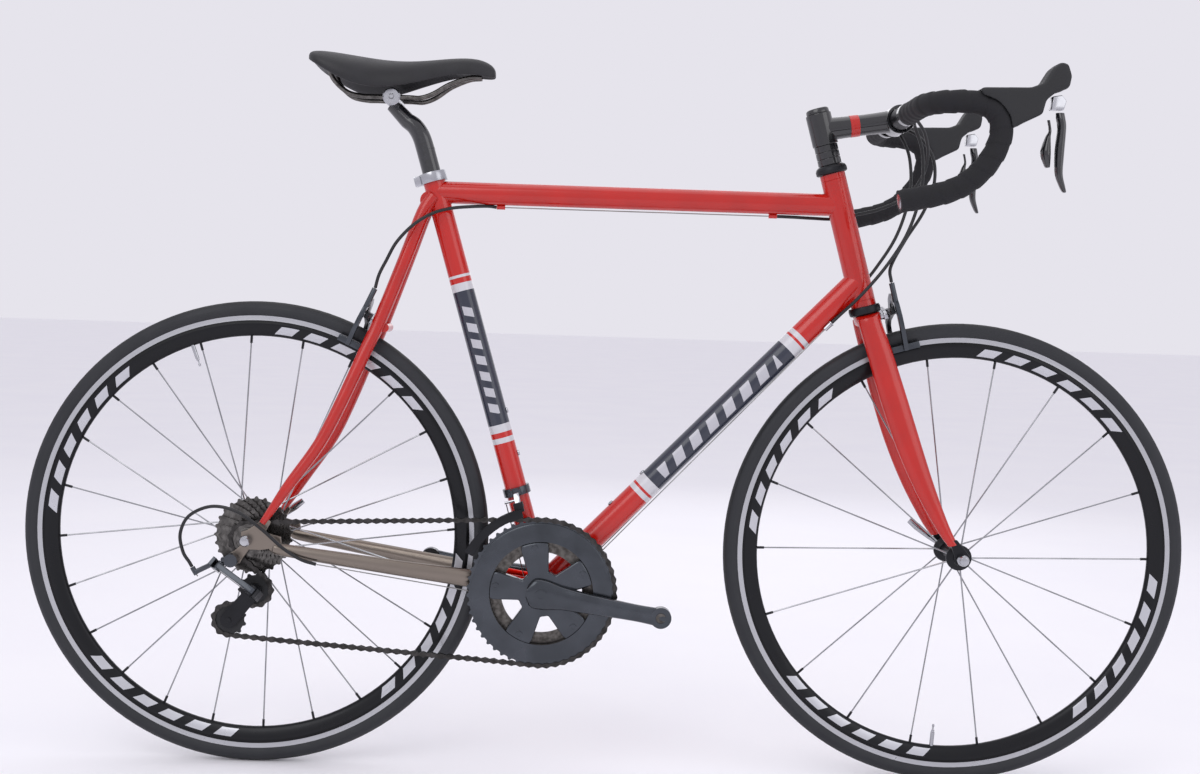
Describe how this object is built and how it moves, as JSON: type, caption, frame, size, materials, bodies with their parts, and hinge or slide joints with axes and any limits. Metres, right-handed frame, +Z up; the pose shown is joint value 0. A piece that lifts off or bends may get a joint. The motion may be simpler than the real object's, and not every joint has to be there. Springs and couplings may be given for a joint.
{
  "type": "road bicycle",
  "caption": "Drop-bar road bicycle with rim brakes, derailleur gears, quick-release wheels and a padded saddle, standing upright.",
  "frame": {"origin": "on the ground, midway between the two tyre contact points", "axes": "+X towards the front wheel, +Y to the rider's left, +Z up"},
  "size_m": [1.686, 0.4588, 1.0295],
  "materials": {
    "red_paint": "gloss",
    "bare_titanium": "satin",
    "black_anodised": "satin",
    "polished_aluminium": "polished",
    "grey_forged_aluminium": "gloss",
    "rim_aluminium": "satin",
    "dark_steel": "satin",
    "tyre_rubber": "matte",
    "black_rubber": "matte",
    "cork_tape": "matte",
    "carbon_fibre": "gloss",
    "saddle_cover": "satin"
  },
  "bodies": {
    "frame": {"top_tube": "red_paint", "down_tube": "red_paint", "seat_tube": "red_paint", "head_tube": "red_paint", "bottom_bracket_shell": "red_paint", "seat_stays": "red_paint", "chain_stays": "bare_titanium", "seatpost_collar": "polished_aluminium", "headset_upper": "black_anodised", "headset_lower": "black_anodised", "rear_axle": "polished_aluminium", "front_derailleur_clamp": "grey_forged_aluminium", "chain": "dark_steel", "rear_brake_cable": "black_rubber", "rear_shift_cable": "black_rubber", "front_shift_cable": "black_rubber"},
    "seatpost": {"seatpost": "carbon_fibre", "saddle": "saddle_cover", "saddle_rails": "black_anodised"},
    "steering": {"fork": "red_paint", "stem": "black_anodised", "handlebar": "black_anodised", "right_bar_tape": "cork_tape", "left_bar_tape": "cork_tape", "right_lever_hood": "black_rubber", "left_lever_hood": "black_rubber", "front_axle": "polished_aluminium", "front_brake_cable": "black_rubber"},
    "front_wheel": {"front_tyre": "tyre_rubber", "front_rim": "rim_aluminium", "front_hub_and_spokes": "black_anodised"},
    "rear_wheel": {"rear_tyre": "tyre_rubber", "rear_rim": "rim_aluminium", "rear_hub_and_spokes": "black_anodised"},
    "cassette": {"cassette": "dark_steel"},
    "crankset": {"right_crank": "grey_forged_aluminium", "left_crank": "grey_forged_aluminium", "large_chainring": "grey_forged_aluminium", "small_chainring": "dark_steel"},
    "derailleur_mount": {"rear_derailleur_mount": "grey_forged_aluminium"},
    "derailleur_outer_link": {"rear_derailleur_outer_link": "grey_forged_aluminium"},
    "derailleur_inner_link": {"rear_derailleur_inner_link": "grey_forged_aluminium"},
    "derailleur_knuckle": {"rear_derailleur_knuckle": "black_anodised"},
    "derailleur_cage": {"rear_derailleur_cage": "black_anodised"},
    "guide_pulley": {"guide_pulley": "black_anodised"},
    "tension_pulley": {"tension_pulley": "black_anodised"},
    "front_derailleur_link": {"front_derailleur_link": "polished_aluminium"},
    "front_derailleur_cage": {"front_derailleur_cage": "black_anodised"},
    "front_brake_adjuster_arm": {"front_brake_adjuster_arm": "polished_aluminium"},
    "front_brake_anchor_arm": {"front_brake_anchor_arm": "black_anodised"},
    "rear_brake_adjuster_arm": {"rear_brake_adjuster_arm": "polished_aluminium"},
    "rear_brake_anchor_arm": {"rear_brake_anchor_arm": "black_anodised"},
    "right_lever_block": {"right_lever_pivot_block": "polished_aluminium"},
    "left_lever_block": {"left_lever_pivot_block": "polished_aluminium"},
    "right_brake_lever": {"right_brake_lever": "carbon_fibre"},
    "left_brake_lever": {"left_brake_lever": "carbon_fibre"},
    "right_shift_paddle": {"right_shift_paddle": "black_anodised"},
    "left_shift_paddle": {"left_shift_paddle": "black_anodised"},
    "front_skewer_lever": {"front_skewer_lever": "polished_aluminium"},
    "rear_skewer_lever": {"rear_skewer_lever": "polished_aluminium"}
  },
  "joints": [
    {"name": "steering", "type": "hinge", "parent": "frame", "child": "steering", "pos_m": [0.46283, 0, 0.336], "axis": [-0.2723, 0, 0.9622], "range_deg": [-70, 70], "deforming": ["rear_brake_cable", "rear_shift_cable", "front_shift_cable"]},
    {"name": "front_wheel_spin", "type": "hinge", "parent": "steering", "child": "front_wheel", "pos_m": [0.507, 0, 0.336], "axis": [0, 1, 0], "continuous": true},
    {"name": "rear_wheel_spin", "type": "hinge", "parent": "frame", "child": "rear_wheel", "pos_m": [-0.507, 0, 0.336], "axis": [0, 1, 0], "continuous": true},
    {"name": "crank_spin", "type": "hinge", "parent": "frame", "child": "crankset", "pos_m": [-0.0908, 0, 0.269], "axis": [0, 1, 0], "continuous": true},
    {"name": "cassette_spin", "type": "hinge", "parent": "frame", "child": "cassette", "pos_m": [-0.507, 0, 0.336], "axis": [0, 1, 0], "continuous": true},
    {"name": "derailleur_hanger_pivot", "type": "hinge", "parent": "frame", "child": "derailleur_mount", "pos_m": [-0.5254, -0.069, 0.3088], "axis": [0, 1, 0], "range_deg": [0, 20], "stiffness_Nm_per_rad": 4, "deforming": ["chain", "rear_shift_cable"]},
    {"name": "derailleur_outer_link_swing", "type": "hinge", "parent": "derailleur_mount", "child": "derailleur_outer_link", "pos_m": [-0.544, -0.073, 0.2985], "axis": [0.5608, 0.3699, 0.7407], "range_deg": [0, 36], "stiffness_Nm_per_rad": 1.2, "deforming": ["chain"]},
    {"name": "derailleur_inner_link_swing", "type": "hinge", "parent": "derailleur_mount", "child": "derailleur_inner_link", "pos_m": [-0.54704, -0.06139, 0.295], "axis": [0.5608, 0.3699, 0.7407], "range_deg": [0, 36]},
    {"name": "derailleur_knuckle_swing", "type": "hinge", "parent": "derailleur_outer_link", "child": "derailleur_knuckle", "pos_m": [-0.49367, -0.08944, 0.26861], "axis": [0.5608, 0.3699, 0.7407], "range_deg": [-36, 0]},
    {"name": "derailleur_cage_swing", "type": "hinge", "parent": "derailleur_knuckle", "child": "derailleur_cage", "pos_m": [-0.4952, -0.0603, 0.2641], "axis": [0, -1, 0], "range_deg": [-12, 60], "stiffness_Nm_per_rad": 0.5, "deforming": ["chain"]},
    {"name": "guide_pulley_spin", "type": "hinge", "parent": "derailleur_cage", "child": "guide_pulley", "pos_m": [-0.4952, -0.0603, 0.2641], "axis": [0, 1, 0], "continuous": true},
    {"name": "tension_pulley_spin", "type": "hinge", "parent": "derailleur_cage", "child": "tension_pulley", "pos_m": [-0.531, -0.0603, 0.2211], "axis": [0, 1, 0], "continuous": true},
    {"name": "front_derailleur_link_swing", "type": "hinge", "parent": "frame", "child": "front_derailleur_link", "pos_m": [-0.13141, -0.027, 0.40611], "axis": [0.9588, 0, 0.284], "range_deg": [0, 25], "stiffness_Nm_per_rad": 0.8, "deforming": ["chain", "front_shift_cable"]},
    {"name": "front_derailleur_cage_swing", "type": "hinge", "parent": "front_derailleur_link", "child": "front_derailleur_cage", "pos_m": [-0.12744, -0.034, 0.39269], "axis": [0.9588, 0, 0.284], "range_deg": [-25, 0]},
    {"name": "right_lever_pull", "type": "hinge", "parent": "steering", "child": "right_lever_block", "pos_m": [0.55973, -0.20664, 0.95899], "axis": [0, 1, 0], "range_deg": [0, 25], "stiffness_Nm_per_rad": 1, "deforming": ["rear_brake_cable"]},
    {"name": "right_lever_blade_swing", "type": "hinge", "parent": "right_lever_block", "child": "right_brake_lever", "pos_m": [0.56573, -0.20664, 0.94849], "axis": [1, 0, 0], "range_deg": [0, 20], "stiffness_Nm_per_rad": 0.5},
    {"name": "right_shift_paddle_swing", "type": "hinge", "parent": "right_lever_block", "child": "right_shift_paddle", "pos_m": [0.55123, -0.20664, 0.93899], "axis": [1, 0, 0], "range_deg": [0, 12], "stiffness_Nm_per_rad": 0.3},
    {"name": "left_lever_pull", "type": "hinge", "parent": "steering", "child": "left_lever_block", "pos_m": [0.55973, 0.20664, 0.95899], "axis": [0, 1, 0], "range_deg": [0, 25], "stiffness_Nm_per_rad": 1, "deforming": ["front_brake_cable"]},
    {"name": "left_lever_blade_swing", "type": "hinge", "parent": "left_lever_block", "child": "left_brake_lever", "pos_m": [0.56573, 0.20664, 0.94849], "axis": [-1, 0, 0], "range_deg": [0, 20], "stiffness_Nm_per_rad": 0.5},
    {"name": "left_shift_paddle_swing", "type": "hinge", "parent": "left_lever_block", "child": "left_shift_paddle", "pos_m": [0.55123, 0.20664, 0.93899], "axis": [-1, 0, 0], "range_deg": [0, 12], "stiffness_Nm_per_rad": 0.3},
    {"name": "front_brake_adjuster_arm_swing", "type": "hinge", "parent": "steering", "child": "front_brake_adjuster_arm", "pos_m": [0.40531, 0.014, 0.69022], "axis": [0.9622, 0, 0.2723], "range_deg": [0, 1.45]},
    {"name": "front_brake_anchor_arm_swing", "type": "hinge", "parent": "steering", "child": "front_brake_anchor_arm", "pos_m": [0.40011, 0, 0.68251], "axis": [0.9622, 0, 0.2723], "range_deg": [-1.7, 0]},
    {"name": "rear_brake_adjuster_arm_swing", "type": "hinge", "parent": "frame", "child": "rear_brake_adjuster_arm", "pos_m": [-0.35701, 0.014, 0.66094], "axis": [0.9029, 0, -0.4299], "range_deg": [0, 1.8]},
    {"name": "rear_brake_anchor_arm_swing", "type": "hinge", "parent": "frame", "child": "rear_brake_anchor_arm", "pos_m": [-0.35318, 0, 0.65247], "axis": [0.9029, 0, -0.4299], "range_deg": [-2.05, 0]},
    {"name": "front_skewer_lever_turn", "type": "hinge", "parent": "steering", "child": "front_skewer_lever", "pos_m": [0.507, 0.0699, 0.336], "axis": [-0.6, 0, -0.8], "range_deg": [0, 165]},
    {"name": "rear_skewer_lever_turn", "type": "hinge", "parent": "frame", "child": "rear_skewer_lever", "pos_m": [-0.507, 0.0839, 0.336], "axis": [-0.6, 0, 0.8], "range_deg": [0, 165]},
    {"name": "seatpost_height", "type": "slide", "parent": "frame", "child": "seatpost", "axis": [-0.284, 0, 0.9588], "range_m": [-0.03, 0.02]}
  ],
  "couplings": [
    {"joint": "cassette_spin", "follows": "crank_spin", "ratio": 4.3333},
    {"joint": "guide_pulley_spin", "follows": "crank_spin", "ratio": -4.7273},
    {"joint": "tension_pulley_spin", "follows": "crank_spin", "ratio": 4.7273},
    {"joint": "derailleur_inner_link_swing", "follows": "derailleur_outer_link_swing", "ratio": 1},
    {"joint": "derailleur_knuckle_swing", "follows": "derailleur_outer_link_swing", "ratio": -1},
    {"joint": "front_derailleur_cage_swing", "follows": "front_derailleur_link_swing", "ratio": -1},
    {"joint": "front_brake_adjuster_arm_swing", "follows": "left_lever_pull", "ratio": 0.054},
    {"joint": "front_brake_anchor_arm_swing", "follows": "left_lever_pull", "ratio": -0.064},
    {"joint": "rear_brake_adjuster_arm_swing", "follows": "right_lever_pull", "ratio": 0.068},
    {"joint": "rear_brake_anchor_arm_swing", "follows": "right_lever_pull", "ratio": -0.078}
  ]
}
